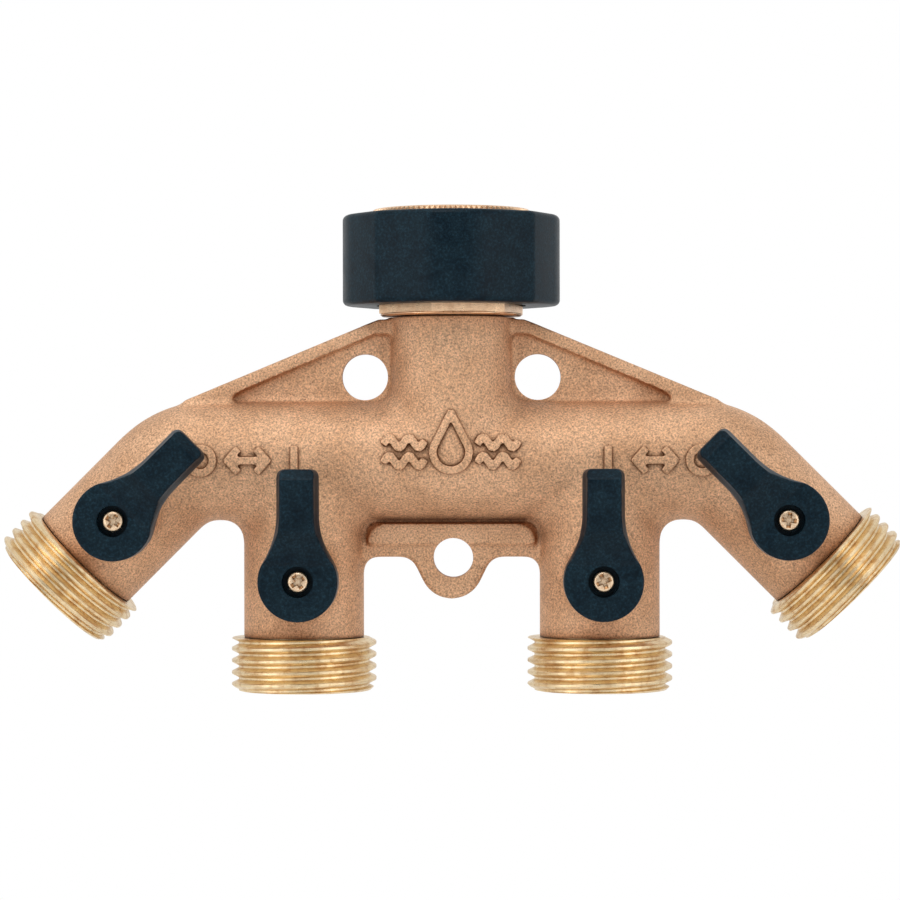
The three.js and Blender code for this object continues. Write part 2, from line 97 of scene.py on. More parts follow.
EYE_LEAN = 64                   # slope of the eye's flanks, in degrees
EYE_SWEEP = 3.2                 # radius from the plate's edge into a flank
EYE_HOLE = (0.3, -52.85, 3.7)   # x, z, radius
NOTCH_FILLET = (3.6, 2.2)       # radius, half its thickness
TO_MACHINE = 1.2                # metal left on the ends that are machined
CHAMBER_R = 8.4
SHOULDER = 8.3
SKIRT_R = 9.8
SKIRT_TOP = 5.1
BOSS_R = 6.6
BOSS_TOP = 15.5
COLLAR_R = 4.9
COLLAR_TOP = 10.2
STEM_BORE_R = 3.8
RING_LOW = -5.7
RING_HIGH = -4.5
RING_GROOVE_R = 8.5
ALONG_TUBE = Matrix.Translation((0, 0, TUBE_Z)) @ Matrix.Rotation(QUARTER, 4, "Y")
SPARE = 3                       # how far a cutting tool reaches past what it cuts
THROUGH = 12

# raised marks; x is measured either side of the middle
RING_X = 46.0
ARROW_X = 37.4
BAR_X = 28.8
MARK_REACH = 2.95               # from the middle of a ring or bar to its outer edge
ARROW_SHAFT = 3.0
ARROW_TIP = 3.6
ARROW_BARB = (1.7, 1.9)
DROP = (-33.2, 3.3, 7.2)        # height, radius, from its middle up to its tip
WAVE_X = 8.6
WAVE_Z = -32.6
WAVE_ROWS = (-2.2, 1.2)
WAVE_HALF = 3.6
WAVE_SWING = 0.95
MARK_UNDER = 0.7                # how deep a mark is set into the skin
TUBE_FRONT = 11
MARK_ROOM = 3.5                 # how far the uncut strokes reach either side of the tube's front

# hose thread, 11.5 turns to the inch
PITCH = 25.4 / 11.5
MALE_CREST = 13.495
MALE_ROOT = 12.2
FEMALE_CREST = 12.45
FEMALE_ROOT = 13.75
TAIL_LENGTH = {"inner": 10.0, "outer": 8.9}
MOUTH_FLATS = 14.0
TAIL_CHAMFER = 1.1
TAIL_WALL = 1.9                 # how much narrower than the leg's bore a tailpiece is inside
GAP = 0.3

# nut and grip
COLLAR_LOW = -7.9
COLLAR_HIGH = -5.9
COLLAR_FLATS = 24.0
COLLAR_TURN = math.radians(45.4)
COLLAR_RIM = (0.45, 1.25)       # height of the thin round rim, and how far it stands out
LIP_TOP = -6.0
LIP_BORE_R = 9.9
RING_BORE_R = 11.5
WASHER_BORE_R = 12.4
SLEEVE_R = 14.95
SLEEVE_TOP = 11.95
GRIP_TOP = 10.95
GRIP_SHARP_R = 20.4
GRIP_BLUNT_R = 22.5
GRIP_TURN = math.radians(3.4)
GRIP_LIP = (1.0, 13.95)         # height and bore of the lip under the sleeve
GRIP_ROUNDING = 0.5             # share of each face taken by the rounding of a blunt corner
GRIP_CRISP = 0.7                # radius of a sharp corner

# lever
HUB_R = 7.25
HUB_UNDER = 15.8
HUB_FACE = 22.2
RECESS_R = 2.85
RECESS_FLOOR = 19.6
SOCKET_TOP = 18.4
SOCKET = 5.6
LEVER_LENGTH = 20.4
HANDLE_HALF = 3.85
FLARE_ANGLE = math.radians(31)
STEP_Z = 3.15
HANDLE_FACE = 25.2
# along the lever from its step, and up from the hub's face
HANDLE_RAMP = ((5.8, 2.5), (4.6, 1.6), (3.5, 0.95), (2.4, 0.55), (1.3, 0.36), (0.4, 0.32), (0, 0))
HANDLE_UNDER = 19.8
NECK_RAMP = (1.5, 5)            # along the lever, where its underside starts and stops to rise
TIP_SLOPE = (1.9, 2.6)          # how far back the tip's slope starts, and how far it drops
SCREW_HOLE_R = 1.3
HANDLE_TAPER = 0.2              # how much narrower the handle's face is than its foot
TIP_CORNER = 1.4
SCREW_HEAD_R = 1.95
SCREW_HEAD_LOW = 19.9
SCREW_HEAD_HIGH = 21.3
# in from the head's rim, and down from its top
SCREW_HEAD_EDGE = ((0, 0.45), (0.08, 0.25), (0.3, 0.1), (0.9, 0))
SCREW_CROSS = (0.95, 3.3, 1.0)  # width, length and depth of the recess
SCREW_CROSS_FLOOR = (0.6, 0.55) # share of its width and length left at the bottom
SCREW_R = 1.0
SCREW_END = 14.2
SCREW_TURNS = {"outer_left": 12, "inner_left": 33, "inner_right": 22, "outer_right": 38}


# ---------------------------------------------------------------- the four valves, from the frame
def valve_places():
    """Each outlet's name, with the matrix of its valve's frame in millimetres."""
    places = {}
    mounts = {mount["name"]: mount for mount in frame["record"]["mounts"]}
    for joint in frame["joints"]:
        if not joint["name"].endswith("_shutoff"):
            continue
        outlet = joint["name"].removesuffix("_shutoff")
        down = mounts[f"{outlet}_outlet_face"]["axis"]
        turn = Matrix.Rotation(math.atan2(-down[0], -down[2]), 4, "Y")
        places[outlet] = Matrix.Translation(Vector(joint["pos_m"]) / MM) @ turn
    return places


VALVES = valve_places()


# ---------------------------------------------------------------- small mesh tools
def face_from(bm, points):
    return bm.faces.new([bm.verts.new(point) for point in points])


def spun(bm, geometry, axis, centre, angle, steps, rise=(0, 0, 0)):
    """Spins geometry about an axis; a full turn is closed, and a rise makes it a helix."""
    return bmesh.ops.spin(
        bm, geom=geometry, axis=axis, cent=centre, dvec=rise, angle=angle, steps=steps,
        use_merge=abs(angle) > 6.28 and not any(rise), use_normal_flip=False, use_duplicate=False)


def tidy(bm, merge=0.0005):
    """Merges doubles, then turns every face outwards."""
    bmesh.ops.remove_doubles(bm, verts=bm.verts, dist=merge)
    bmesh.ops.recalc_face_normals(bm, faces=bm.faces)
    return bm


def turned(profile, steps=ROUND):
    """A solid turned about Z from a closed outline of (radius, height) points."""
    bm = bmesh.new()
    verts = [bm.verts.new((radius, 0, height)) for radius, height in profile]
    edges = [bm.edges.new((a, b)) for a, b in zip(verts, verts[1:] + verts[:1])]
    spun(bm, verts + edges, UP, (0, 0, 0), 2 * math.pi, steps)
    return tidy(bm)


def rod(bm, radius, low, high, place=HERE, steps=ROUND):
    """Adds a round bar between two heights on Z, brought into place by a matrix."""
    middle = Matrix.Translation((0, 0, (low + high) / 2))
    bmesh.ops.create_cone(
        bm, cap_ends=True, cap_tris=False, segments=steps, radius1=radius, radius2=radius,
        depth=high - low, matrix=place @ middle)
    return bm


def front_rod(bm, radius, near, far, place=HERE, steps=ROUND):
    """Adds a round bar that points to the front, between two distances forward of the axis."""
    return rod(bm, radius, near, far, place @ Matrix.Rotation(QUARTER, 4, "X"), steps)


def extruded(bm, faces, step):
    """Grows faces into a solid, by one step along."""
    grown = bmesh.ops.extrude_face_region(bm, geom=faces, use_keep_orig=True)["geom"]
    moved = [item for item in grown if isinstance(item, bmesh.types.BMVert)]
    bmesh.ops.translate(bm, verts=moved, vec=step)
    return bm


def slab(bm, outline, half, place=HERE):
    """Adds a flat plate drawn in the front view, with the same thickness either side of Y 0."""
    face = face_from(bm, [place @ Vector((x, -half, z)) for x, z in outline])
    return extruded(bm, [face], place.to_3x3() @ Vector((0, 2 * half, 0)))


def block(bm, size, place):
    bmesh.ops.create_cube(bm, size=1, matrix=place @ Matrix.Diagonal((*size, 1)))
    return bm


def arc(centre, radius, start, end, steps):
    """Points on an arc in the front view, with angles in degrees from +X towards +Z."""
    turns = [math.radians(start + (end - start) * k / steps) for k in range(steps + 1)]
    return [(centre[0] + radius * math.cos(t), centre[1] + radius * math.sin(t)) for t in turns]


def thread_solid(crest, root, low, high, steps=ROUND):
    """A right-hand threaded bar on Z: a row of teeth, spun one turn as it rises a pitch."""
    bm = bmesh.new()
    turns = math.ceil((high - low) / PITCH) + 3
    bevel = math.copysign(0.12, crest - root)
    # each point is a radius and a share of the pitch
    tooth = [(root, 0.08), (crest - bevel, 0.34), (crest, 0.41), (crest, 0.59),
             (crest - bevel, 0.66), (root, 0.92)]
    verts = []
    for turn in range(turns):
        for radius, share in tooth:
            verts.append(bm.verts.new((radius, 0, low + (turn + share - 2.5) * PITCH)))
    edges = [bm.edges.new(pair) for pair in zip(verts, verts[1:])]
    spun(bm, verts + edges, UP, (0, 0, 0), 2 * math.pi, steps, (0, 0, PITCH / steps))
    bmesh.ops.remove_doubles(bm, verts=bm.verts, dist=0.002)
    for height, side in ((low, -1), (high, 1)):
        bmesh.ops.bisect_plane(
            bm, geom=bm.verts[:] + bm.edges[:] + bm.faces[:], dist=1e-5,
            plane_co=(0, 0, height), plane_no=(0, 0, side), clear_outer=True)
    rims = [edge for edge in bm.edges if edge.is_boundary]
    bmesh.ops.holes_fill(bm, edges=rims, sides=0)
    return tidy(bm)


def working(mesh):
    """A working object in millimetres that owns a mesh."""
    obj = bpy.data.objects.new(mesh.name, mesh)
    bpy.context.scene.collection.objects.link(obj)
    return obj


def temporary(bm, name="temporary"):
    """A working object made from a bmesh, which is used up."""
    mesh = bpy.data.meshes.new(name)
    bm.to_mesh(mesh)
    bm.free()
    return working(mesh)


def settled(obj):
    """Applies an object's modifiers to its mesh."""
    graph = bpy.context.evaluated_depsgraph_get()
    graph.update()
    mesh = bpy.data.meshes.new_from_object(obj.evaluated_get(graph))
    old = obj.data
    obj.modifiers.clear()
    obj.data = mesh
    bpy.data.meshes.remove(old)
    return obj


def discard(obj):
    mesh = obj.data
    bpy.data.objects.remove(obj)
    bpy.data.meshes.remove(mesh)


def loosened(obj):
    """Turns a working object back into a bmesh."""
    bm = bmesh.new()
    bm.from_mesh(obj.data)
    discard(obj)
    return bm


def combined(obj, bm, operation="DIFFERENCE"):
    """Cuts, joins or intersects a working object with a bmesh solid."""
    other = temporary(tidy(bm), "tool")
    boolean = obj.modifiers.new("tool", "BOOLEAN")
    boolean.operation = operation
    boolean.solver = "MANIFOLD"
    boolean.object = other
    settled(obj)
    discard(other)
    return obj


def finished(obj, name, body, material, nodes=(), place=HERE, sharp=38):
    """Brings a working object to its place in metres, and hands it to the frame."""
    bm = bmesh.new()
    bm.from_mesh(obj.data)
    if not bm.faces:
        raise RuntimeError(f"{name} has no faces")
    tidy(bm)
    bm.to_mesh(obj.data)
    bm.free()
    obj.name = name
    obj.data.name = name
    obj.data.transform(Matrix.Scale(MM, 4) @ place)
    obj.data.shade_smooth()
    obj.data.set_sharp_from_angle(angle=math.radians(sharp))
    obj.data.materials.clear()
    obj.data.materials.append(material)
    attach(obj, body)
    if nodes:
        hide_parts(*nodes)
    return obj


def remeshed(obj, size):
    """Joins a working object's overlapping shells into one skin of even squares."""
    skin = obj.modifiers.new("skin", "REMESH")
    skin.mode = "VOXEL"
    skin.voxel_size = size
    return settled(obj)


def swollen(obj, distance):
    swell = obj.modifiers.new("swell", "DISPLACE")
    swell.strength = distance
    swell.mid_level = 0
    return settled(obj)


def smoothed(obj, rounds):
    smooth = obj.modifiers.new("smooth", "SMOOTH")
    smooth.factor = 0.5
    smooth.iterations = rounds
    return settled(obj)


# ---------------------------------------------------------------- materials
TINT = {"data_type": "RGBA", "blend_type": "MULTIPLY"}


def linear(colour):
    """An sRGB hex colour as the linear RGBA that Blender's sockets take."""
    values = [int(colour[k:k + 2], 16) / 255 for k in (1, 3, 5)]
    return (*(v / 12.92 if v <= 0.04045 else ((v + 0.055) / 1.055) ** 2.4 for v in values), 1)


def add(tree, kind, inputs=(), stops=(), **settings):
    """Adds a node, with its settings and links.

    Inputs go by name or number, and each is a value, another node or one of its outputs. A colour
    ramp also has stops, each a position with a hex colour or a grey.
    """
    node = tree.nodes.new(kind)
    for name, value in settings.items():
        setattr(node, name, value)
    for key, value in dict(inputs).items():
        if isinstance(value, bpy.types.Node):
            value = value.outputs[0]
        if isinstance(value, bpy.types.NodeSocket):
            tree.links.new(value, node.inputs[key])
        else:
            node.inputs[key].default_value = value
    for number, (position, value) in enumerate(stops):
        elements = node.color_ramp.elements
        element = elements[number] if number < len(elements) else elements.new(1)
        element.position = position
        element.color = linear(value) if isinstance(value, str) else (value, value, value, 1)
    return node


def new_material(name):
    """A material, its node tree, and Object coordinates in millimetres."""
    material = bpy.data.materials.new(name)
    material.use_nodes = True
    tree = material.node_tree
    tree.nodes.clear()
    coordinates = add(tree, "ShaderNodeTexCoord")
    millimetres = add(tree, "ShaderNodeVectorMath", {
        0: coordinates.outputs["Object"], "Scale": 1 / MM}, operation="SCALE")
    return material, tree, millimetres.outputs["Vector"]


def cast_gunmetal(look):
    """Gunmetal, sand cast and shot blasted: a matt, peppered skin with pits and bright grains."""
    material, tree, at = new_material("cast_gunmetal")
    grain = add(tree, "ShaderNodeTexNoise", {
        "Vector": at, "Scale": MM / look.grain, "Detail": 3, "Roughness": 0.65})
    cloud = add(tree, "ShaderNodeTexNoise", {
        "Vector": at, "Scale": MM / look.cloud, "Detail": 3, "Roughness": 0.6})
    pits = add(tree, "ShaderNodeTexVoronoi", {"Vector": at, "Scale": MM / look.pit_spacing})
    pit = add(tree, "ShaderNodeValToRGB", {"Fac": pits.outputs["Distance"]},
              [(0.0, 0.0), (0.16, 1.0)])
    tone = add(tree, "ShaderNodeValToRGB", {"Fac": cloud},
               [(0.3, look.cast_dark), (0.7, look.cast_light)])
    pepper = add(tree, "ShaderNodeValToRGB", {"Fac": grain},
                 [(0.3, 0.42), (0.5, 0.95), (0.7, 1.42)])
    speckled = add(tree, "ShaderNodeMix", {"Factor": 1, 6: tone, 7: pepper}, **TINT)
    pitted = add(tree, "ShaderNodeMix", {
        "Factor": pit, 6: linear("#6b4a34"), 7: speckled.outputs[2]}, data_type="RGBA")
    # painted shade: the skin is darkened in corners and creases, where ambient occlusion finds other surfaces
    # within 1 mm
    corner = add(tree, "ShaderNodeAmbientOcclusion", {"Distance": 1.0 * MM}, samples=8)
    painted_crease_shade = add(tree, "ShaderNodeValToRGB", {"Fac": corner.outputs["AO"]}, [(0.5, 0.42), (0.9, 1.0)])
    crease_shaded = add(tree, "ShaderNodeMix", {"Factor": 1, 6: pitted.outputs[2], 7: painted_crease_shade}, **TINT)
    # painted shadow: parts that nearby pieces shelter within 9 mm, such as the neck under the grip and the legs
    # beside the levers, are darkened more than the open ones
    shelter = add(tree, "ShaderNodeAmbientOcclusion", {"Distance": 9 * MM}, samples=8)
    painted_shadow = add(tree, "ShaderNodeValToRGB", {"Fac": shelter.outputs["AO"]},
                 [(0.35, "#c4a184"), (0.85, "#ffffff")])
    shadowed = add(tree, "ShaderNodeMix", {"Factor": 1, 6: crease_shaded.outputs[2], 7: painted_shadow}, **TINT)
    rough = add(tree, "ShaderNodeMapRange", {"Value": grain, "To Min": 0.45, "To Max": 0.7})
    # the parting line of the two mould halves stands proud along the middle plane
    split = add(tree, "ShaderNodeSeparateXYZ", {0: at})
    off_plane = add(tree, "ShaderNodeMath", {0: split.outputs["Y"]}, operation="ABSOLUTE")
    flash = add(tree, "ShaderNodeMapRange", {
        "Value": off_plane, "From Min": 0.15, "From Max": 0.45,
        "To Min": 0.5, "To Max": 0.0}, interpolation_type="SMOOTHSTEP")
    relief = add(tree, "ShaderNodeMath", {0: grain, 1: flash},
                 operation="ADD")
    skin_bump = add(tree, "ShaderNodeBump", {
        "Height": relief, "Strength": look.cast_bump, "Distance": 0.25 * MM})
    pit_bump = add(tree, "ShaderNodeBump", {
        "Height": pit, "Strength": 0.5, "Distance": 0.12 * MM, "Normal": skin_bump})
    skin = add(tree, "ShaderNodeBsdfPrincipled", {
        "Base Color": shadowed.outputs[2], "Metallic": 0.7, "Roughness": rough, "Normal": pit_bump})
    add(tree, "ShaderNodeOutputMaterial", {"Surface": skin})
    return material


def turned_brass(name, light, dark, place):
    """Brass as it leaves the lathe: bright, with fine rings from the tool and a little stain."""
    material, tree, at = new_material(name)
    home = place.inverted()
    lathe = add(tree, "ShaderNodeMapping", {
        "Vector": at, "Location": home.translation, "Rotation": home.to_euler()})
    across = add(tree, "ShaderNodeVectorMath", {0: lathe, 1: (1, 1, 0)},
                 operation="MULTIPLY")
    radius = add(tree, "ShaderNodeVectorMath", {0: across}, operation="LENGTH")
    split = add(tree, "ShaderNodeSeparateXYZ", {0: lathe})
    wander = add(tree, "ShaderNodeMath", {0: split.outputs["X"], 1: 0.03}, operation="MULTIPLY")
    section = add(tree, "ShaderNodeCombineXYZ", {
        "X": radius.outputs["Value"], "Y": wander, "Z": split.outputs["Z"]})
    lines = add(tree, "ShaderNodeTexNoise", {
        "Vector": section, "Scale": 7, "Detail": 3, "Roughness": 0.7})
    stain = add(tree, "ShaderNodeTexNoise", {
        "Vector": at, "Scale": 0.55, "Detail": 6, "Roughness": 0.7})
    colour = add(tree, "ShaderNodeValToRGB", {"Fac": stain}, [(0.3, dark), (0.52, light)])
    streak = add(tree, "ShaderNodeValToRGB", {"Fac": lines}, [(0.32, 0.8), (0.62, 1.08)])
    toned = add(tree, "ShaderNodeMix", {"Factor": 1, 6: colour, 7: streak}, **TINT)
    rough = add(tree, "ShaderNodeMapRange", {
        "Value": stain, "From Min": 0.3, "From Max": 0.7,
        "To Min": 0.4, "To Max": 0.24})
    bump = add(tree, "ShaderNodeBump", {
        "Height": lines, "Strength": 0.4, "Distance": 0.05 * MM})
    skin = add(tree, "ShaderNodeBsdfPrincipled", {
        "Base Color": toned.outputs[2], "Metallic": 1.0, "Roughness": rough, "Normal": bump})
    add(tree, "ShaderNodeOutputMaterial", {"Surface": skin})
    return material


def moulded_nylon(look):
    """Dark teal nylon, moulded: a satin skin with a faint spark-eroded grain and rubbed patches."""
    material, tree, at = new_material("moulded_nylon")
    grain = add(tree, "ShaderNodeTexNoise", {
        "Vector": at, "Scale": 1 / 0.45, "Detail": 3, "Roughness": 0.65})
    patches = add(tree, "ShaderNodeTexNoise", {
        "Vector": at, "Scale": 1 / 4.0, "Detail": 4, "Roughness": 0.65})
    tone = add(tree, "ShaderNodeValToRGB", {"Fac": patches}, [
        (0.3, look.plastic_dark), (0.7, look.plastic_light)])
    speck = add(tree, "ShaderNodeValToRGB", {"Fac": grain}, [(0.35, 0.72), (0.5, 1.0), (0.72, 2.0)])
    colour = add(tree, "ShaderNodeMix", {"Factor": 1, 6: tone, 7: speck}, **TINT)
    rough = add(tree, "ShaderNodeMapRange", {
        "Value": patches, "From Min": 0.3, "From Max": 0.7,
        "To Min": 0.3, "To Max": 0.42})
    bump = add(tree, "ShaderNodeBump", {
        "Height": grain, "Strength": 0.35, "Distance": 0.07 * MM})
    skin = add(tree, "ShaderNodeBsdfPrincipled", {
        "Base Color": colour.outputs[2], "Roughness": rough, "IOR": 1.53,
        "Specular IOR Level": 0.08, "Normal": bump})
    add(tree, "ShaderNodeOutputMaterial", {"Surface": skin})
    return material


def plated_steel(name, colour, dark, roughness):
    """Steel with a thin plating: bright, with hairline scratches and painted shade darkening its corners."""
    material, tree, at = new_material(name)
    scratch = add(tree, "ShaderNodeTexNoise", {
        "Vector": at, "Scale": 1 / 0.3, "Detail": 3, "Roughness": 0.7, "Distortion": 1.5})
    worn = add(tree, "ShaderNodeValToRGB", {"Fac": scratch}, [(0.32, dark), (0.55, colour)])
    # painted shade: corners and recesses within 0.5 mm are darkened through ambient occlusion
    corner = add(tree, "ShaderNodeAmbientOcclusion", {"Distance": 0.5 * MM}, samples=8)
    painted_corner_shade = add(tree, "ShaderNodeValToRGB", {"Fac": corner.outputs["AO"]}, [(0.4, 0.3), (0.85, 1.0)])
    shaded_plating = add(tree, "ShaderNodeMix", {"Factor": 1, 6: worn, 7: painted_corner_shade}, **TINT)
    rough = add(tree, "ShaderNodeMapRange", {
        "Value": scratch, "To Min": roughness * 0.6, "To Max": roughness * 1.6})
    bump = add(tree, "ShaderNodeBump", {
        "Height": scratch, "Strength": 0.15, "Distance": 0.03 * MM})
    skin = add(tree, "ShaderNodeBsdfPrincipled", {
        "Base Color": shaded_plating.outputs[2], "Metallic": 1.0, "Roughness": rough, "Normal": bump})
    add(tree, "ShaderNodeOutputMaterial", {"Surface": skin})
    return material


def soft_moulding(name, light, dark, roughness, ior):
    """Rubber or PTFE: an even, waxy or dusty skin, with a fine mould grain."""
    material, tree, at = new_material(name)
    dust = add(tree, "ShaderNodeTexNoise", {
        "Vector": at, "Scale": 1 / 0.8, "Detail": 5, "Roughness": 0.7})
    colour = add(tree, "ShaderNodeValToRGB", {"Fac": dust}, [(0.35, dark), (0.65, light)])
    rough = add(tree, "ShaderNodeMapRange", {
        "Value": dust, "To Min": roughness - 0.1, "To Max": roughness + 0.1})
    bump = add(tree, "ShaderNodeBump", {
        "Height": dust, "Strength": 0.3, "Distance": 0.05 * MM})
    skin = add(tree, "ShaderNodeBsdfPrincipled", {
        "Base Color": colour, "Roughness": rough, "IOR": ior, "Normal": bump})
    add(tree, "ShaderNodeOutputMaterial", {"Surface": skin})
    return material


def white_paper():
    """Matt white paper, lit so brightly that the camera sees it as plain white."""
    material, tree, _ = new_material("white_paper")
    path = add(tree, "ShaderNodeLightPath")
    paper = add(tree, "ShaderNodeBsdfDiffuse", {"Color": linear("#f2f2f2")})
    glare = add(tree, "ShaderNodeEmission", {"Color": (1, 1, 1, 1), "Strength": 1})
    seen = add(tree, "ShaderNodeMixShader", {
        0: path.outputs["Is Camera Ray"], 1: paper, 2: glare})
    add(tree, "ShaderNodeOutputMaterial", {"Surface": seen})
    return material


MADE = {}


def finish(key, place=HERE, suffix=""):
    """The materials, each made once, the first time it is asked for."""
    look = bpy.context.scene.splitter_finish
    name = key + suffix
    makers = {
        "cast": lambda: cast_gunmetal(look),
        "brass": lambda: turned_brass(
            "turned_brass" + suffix, look.brass_light, look.brass_dark, place),
        "bronze": lambda: turned_brass(
            "turned_bronze" + suffix, look.bronze_light, look.bronze_dark, place),
        "plastic": lambda: moulded_nylon(look),
        "screw": lambda: plated_steel("bronze_plated_steel", "#f6dcbc", "#c99a70", 0.3),
        "ball": lambda: plated_steel("chromed_ball", "#e3e4e6", "#b9bcc0", 0.12),
        "rubber": lambda: soft_moulding("nitrile_rubber", "#262726", "#171817", 0.72, 1.52),
        "ptfe": lambda: soft_moulding("ptfe", "#efece6", "#e2ded6", 0.42, 1.35),
    }
    if name not in MADE:
        MADE[name] = makers[key]()
    return MADE[name]


# ---------------------------------------------------------------- casting
def tube_shells():
    """Neck, cross tube, elbows, legs and stem bosses as overlapping closed shells."""
    bm = bmesh.new()
    overlap = 0.2
    run = ELBOW_R * math.tan(OUTER_TILT / 2)
    rod(bm, TUBE_R, run - ELBOW_X, ELBOW_X - run, ALONG_TUBE)
    rod(bm, NECK_R, TUBE_Z, NECK_TOP + TO_MACHINE)
    for side in (-1, 1):
        start = side * (ELBOW_X - run)
        ring = bmesh.ops.create_circle(
            bm, cap_ends=False, segments=ROUND, radius=TUBE_R,
            matrix=Matrix.Translation((start, 0, TUBE_Z)) @ Matrix.Rotation(QUARTER, 4, "Y"))
        edges = list({edge for vert in ring["verts"] for edge in vert.link_edges})
        spun(bm, ring["verts"] + edges, (0, side, 0), (start, 0, TUBE_Z - ELBOW_R), OUTER_TILT, 16)
        bmesh.ops.holes_fill(bm, edges=[edge for edge in bm.edges if edge.is_boundary], sides=0)
    for outlet, place in VALVES.items():
        top = TUBE_Z - place.translation.z
        if outlet.startswith("outer"):
            elbow = Vector((math.copysign(ELBOW_X, place.translation.x), 0, TUBE_Z))
            top = (place.translation - elbow).length - run + overlap
        rod(bm, LEG_R, -LEG_BACK[outlet[:5]] - TO_MACHINE, top, place)
        front_rod(bm, BOSS_R, 0, BOSS_TOP + TO_MACHINE, place)
    return tidy(bm)


def web_shells():
    """Webs, rims, the lower band and the eye, with the fillets that lie in the front view."""
    bm = bmesh.new()
    slope = math.atan2(WEB_TOP - WEB_TOE[1], WEB_TOE[0] - WEB_SHOULDER_X)
    drop = RIM / math.cos(slope)
    for side in (-1, 1):
        edge = [(0, WEB_TOP), *((WEB_SHOULDER_X + x, WEB_TOP + z) for x, z in WEB_SHOULDER),
                WEB_TOE, (WEB_TOE[0] - 5, TUBE_Z)]
        plate = [(0, TUBE_Z), *edge]
        toe_x = POCKET_X - POCKET_CORNER[0]
        toe_z = WEB_TOP - drop - (toe_x - WEB_SHOULDER_X) * math.tan(slope)
        rim = [*edge, (POCKET_X, TUBE_Z), (POCKET_X, toe_z - POCKET_CORNER[1]), (toe_x, toe_z),
               (WEB_SHOULDER_X, WEB_TOP - drop), (0, WEB_TOP - drop)]
        slab(bm, [(side * x, z) for x, z in plate], PLATE_HALF)
        slab(bm, [(side * x, z) for x, z in rim], RIM_HALF)
        notch_fillets(bm, side)
    half, corner = BAND_HALF_WIDTH, BAND_CORNER
    slab(bm, [(-half, BAND_Z), (half, BAND_Z),
              *arc((half - corner, BAND_TOP - corner), corner, 0, 90, 8),
              *arc((corner - half, BAND_TOP - corner), corner, 90, 180, 8)], RIM_HALF)
    slab(bm, lower_outline(), EYE_HALF)
    return tidy(bm)


def lower_outline():
    """The lower plate: rounded into both legs, and swept down into the hanging eye."""
    corner = 2.6
    inside = 17.0
    leg = abs(VALVES["inner_right"].translation.x) - LEG_R
    lean = math.radians(EYE_LEAN)
    reach = (EYE_R + EYE_SWEEP
             + math.cos(lean) * (PLATE_Z - EYE_SWEEP - EYE_Z)) / math.sin(lean)
    left = [(-inside, TUBE_Z), (-inside, PLATE_Z - corner), (-leg, PLATE_Z - corner),
            *arc((corner - leg, PLATE_Z - corner), corner, 180, 90, 8),
            *arc((-reach, PLATE_Z - EYE_SWEEP), EYE_SWEEP, 90, 90 - EYE_LEAN, 8),
            *arc((0, EYE_Z), EYE_R, 270 - EYE_LEAN, 270, 10)]
    return left + [(-x, z) for x, z in reversed(left[:-1])]


def notch_fillets(bm, side):
    """Fills the corners of the notch between an inner and an outer leg with their fillets."""
    leg_x = LEG_R + abs(VALVES["inner_right"].translation.x)
    low = TUBE_Z - TUBE_R
    fillet, half = NOTCH_FILLET
    sunk = 1
    corner = [(leg_x - sunk, low + sunk), (leg_x - sunk, low - fillet), (leg_x, low - fillet),
              *arc((leg_x + fillet, low - fillet), fillet, 180, 90, 10),
              (leg_x + fillet, low + sunk)]
    slab(bm, [(side * x, z) for x, z in corner], half)


def casting_cuts():
    """What is machined away, each as its own solid, in the order that it is cut."""
    yield rod(bmesh.new(), 30, NECK_TOP, 10)
    for outlet, place in VALVES.items():
        back = LEG_BACK[outlet[:5]]
        yield rod(bmesh.new(), LEG_R + SPARE, -back - 8, -back, place)
        yield front_rod(bmesh.new(), BOSS_R + SPARE, BOSS_TOP, BOSS_TOP + 5, place)
    x, z, radius = WEB_HOLE
    for x, z, radius in ((-x, z, radius), (x, z, radius), EYE_HOLE):
        yield front_rod(bmesh.new(), radius, -THROUGH, THROUGH, Matrix.Translation((x, 0, z)))


def casting_bores():
    """The water ways, and the room for the pieces in each valve."""
    yield rod(bmesh.new(), BORE_R, TUBE_Z, SPIGOT_TOP + 2)
    yield rod(bmesh.new(), BORE_R, -ELBOW_X, ELBOW_X, ALONG_TUBE)
    for outlet, place in VALVES.items():
        rise = TUBE_Z - place.translation.z
        if outlet.startswith("outer"):
            rise /= math.cos(OUTER_TILT)
        end = -LEG_BACK[outlet[:5]] - 1
        yield rod(bmesh.new(), BORE_R, 0, rise, place)
        yield rod(bmesh.new(), CHAMBER_R, end, SHOULDER, place)
        yield rod(bmesh.new(), SKIRT_R, end, -SKIRT_TOP, place)
        yield front_rod(bmesh.new(), COLLAR_R, 0, COLLAR_TOP, place)
        yield front_rod(bmesh.new(), STEM_BORE_R, 0, BOSS_TOP + 1, place)


